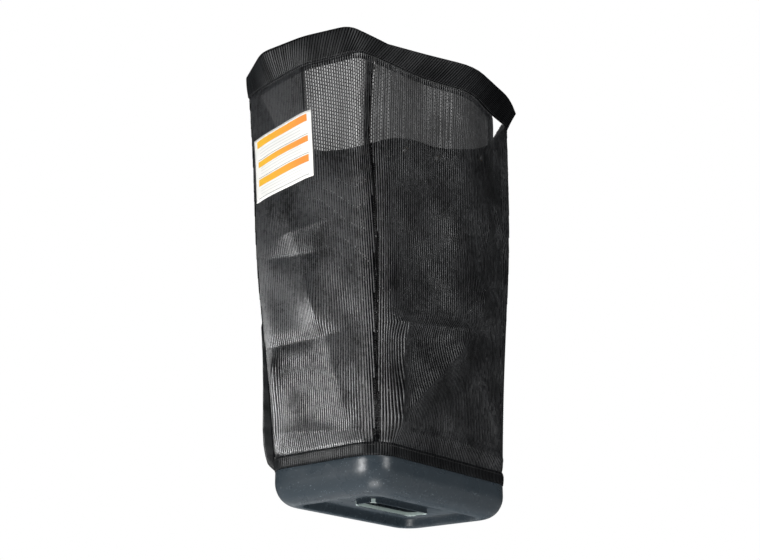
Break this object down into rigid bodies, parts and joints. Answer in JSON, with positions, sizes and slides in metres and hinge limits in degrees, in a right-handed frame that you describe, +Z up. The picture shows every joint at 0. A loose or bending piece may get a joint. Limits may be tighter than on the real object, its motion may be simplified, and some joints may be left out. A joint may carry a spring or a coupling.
{
  "type": "mower grass collection bag",
  "caption": "Soft ribbed mesh collection bag with its mouth held up, sewn round a moulded plastic end cap that has a hand slot in its underside",
  "frame": {"origin": "on the floor under the middle of the whole bag's outline seen from above", "axes": "+X along the end cap's long side, +Y along its short side away from the seam side with the notch, +Z up through the mouth"},
  "size_m": [0.4824, 0.406, 0.7245],
  "materials": {
    "cap_plastic": "slate grey, fine moulded grain",
    "mesh_cloth": "black ribbed open mesh",
    "double_cloth": "black ribbed cloth, folded double",
    "label_patch": "white printed patch with amber bars",
    "eyelet_brass": "pressed brass"
  },
  "bodies": {
    "root": {"end_cap": "cap_plastic", "front_mesh_panel": "mesh_cloth", "eyelet_side_mesh_panel": "mesh_cloth", "back_mesh_panel": "mesh_cloth", "label_side_mesh_panel": "mesh_cloth", "near_seam_allowance": "double_cloth", "right_seam_allowance": "double_cloth", "far_seam_allowance": "double_cloth", "left_seam_allowance": "double_cloth", "left_seam_fin": "double_cloth", "mouth_band": "double_cloth", "front_turn_in": "double_cloth", "eyelet_side_turn_in": "double_cloth", "back_turn_in": "double_cloth", "label_side_turn_in": "double_cloth", "lower_binding": "double_cloth", "label_side_seam_tape": "double_cloth", "label_patch": "label_patch", "eyelet_1": "eyelet_brass", "eyelet_washer_1": "eyelet_brass", "eyelet_2": "eyelet_brass", "eyelet_washer_2": "eyelet_brass", "eyelet_3": "eyelet_brass", "eyelet_washer_3": "eyelet_brass"}
  },
  "joints": []
}
